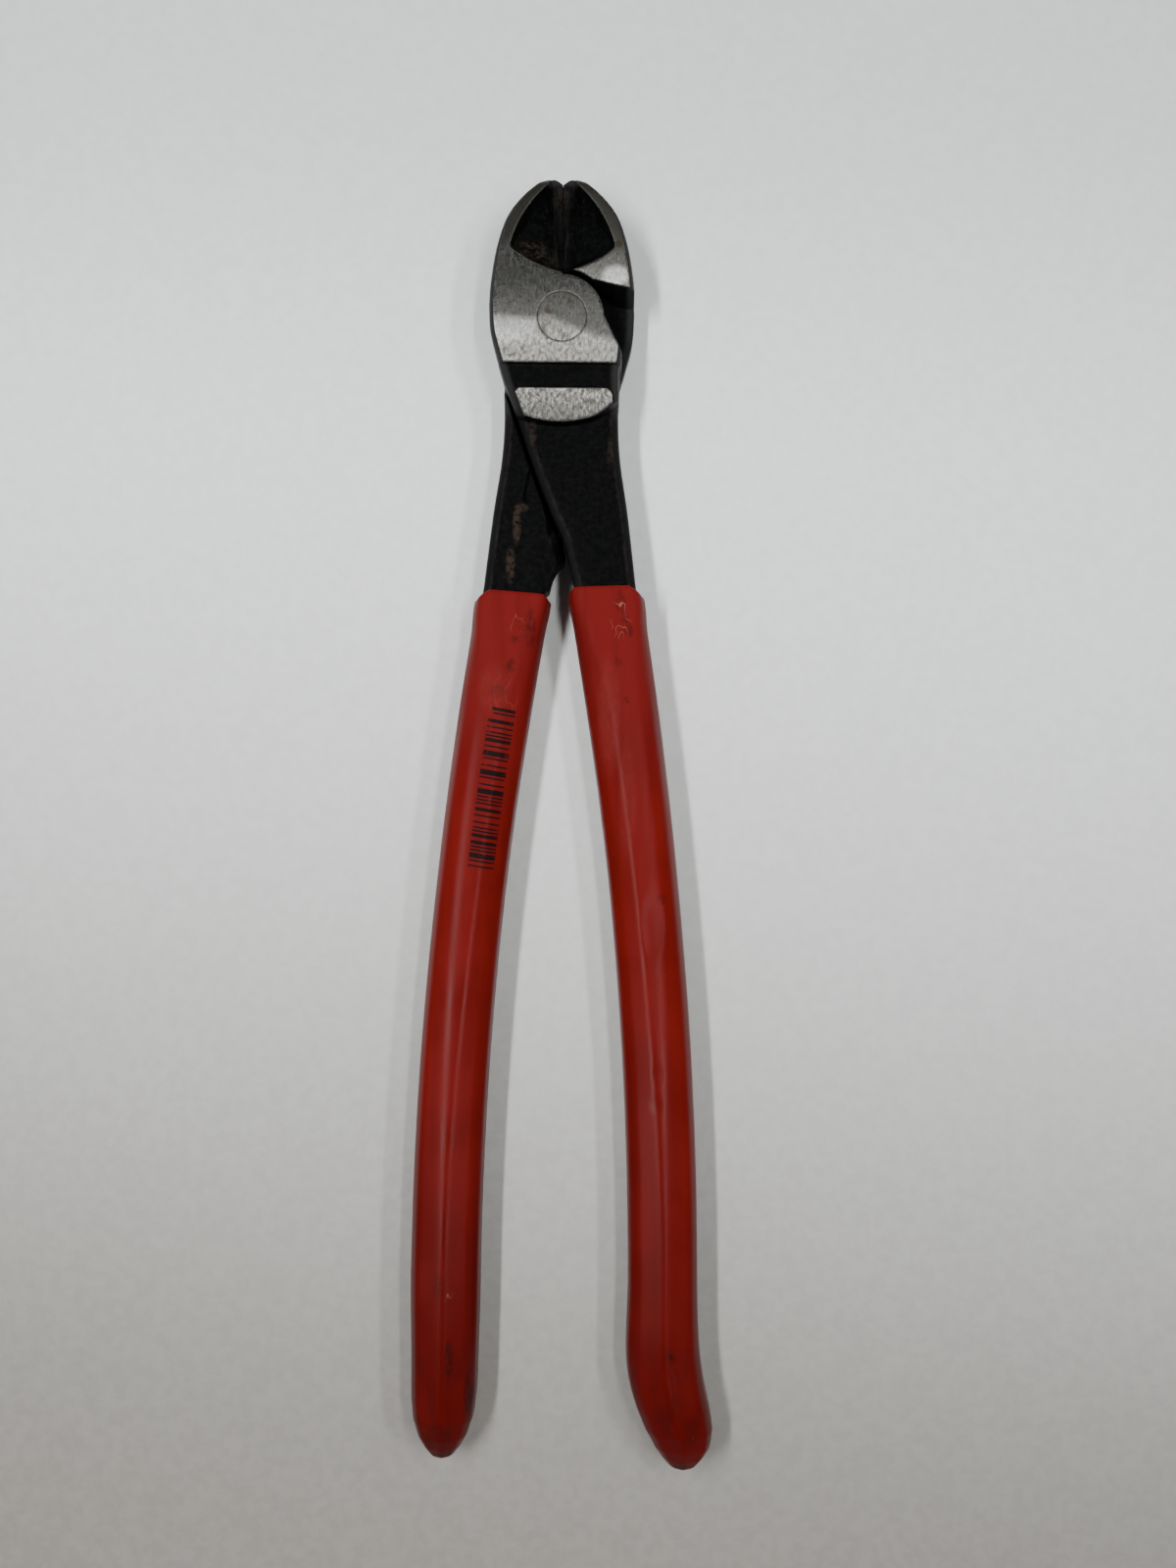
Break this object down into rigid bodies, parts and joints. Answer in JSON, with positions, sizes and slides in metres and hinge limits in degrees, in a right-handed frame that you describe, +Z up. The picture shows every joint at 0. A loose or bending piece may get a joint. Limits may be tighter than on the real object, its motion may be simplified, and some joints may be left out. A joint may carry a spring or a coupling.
{
  "type": "diagonal cutting pliers",
  "caption": "High-leverage diagonal cutting pliers with a lap joint, ground head faces and long dipped handles.",
  "frame": {"origin": "on the pivot axis, in the plane of the head's underside", "axes": "+Y toward the jaw tips, +Z up out of the head's top face along the pivot axis, +X to the right seen from above"},
  "size_m": [0.0586, 0.2488, 0.012],
  "materials": {
    "forged_steel": "forged steel with a black oxide skin; the raised faces of the head are ground bright",
    "ground_steel": "steel ground flush with the head",
    "red_dip": "glossy dipped plastic, worn and scuffed"
  },
  "bodies": {
    "lower_body": {"lower_half": "forged_steel", "pivot_rivet": "ground_steel", "lower_half_grip": "red_dip"},
    "upper_body": {"upper_half": "forged_steel", "upper_half_grip": "red_dip"}
  },
  "joints": [
    {"name": "jaw_pivot", "type": "hinge", "parent": "lower_body", "child": "upper_body", "pos_m": [0, 0, 0.006], "axis": [0, 0, 1], "range_deg": [0, 45]}
  ]
}
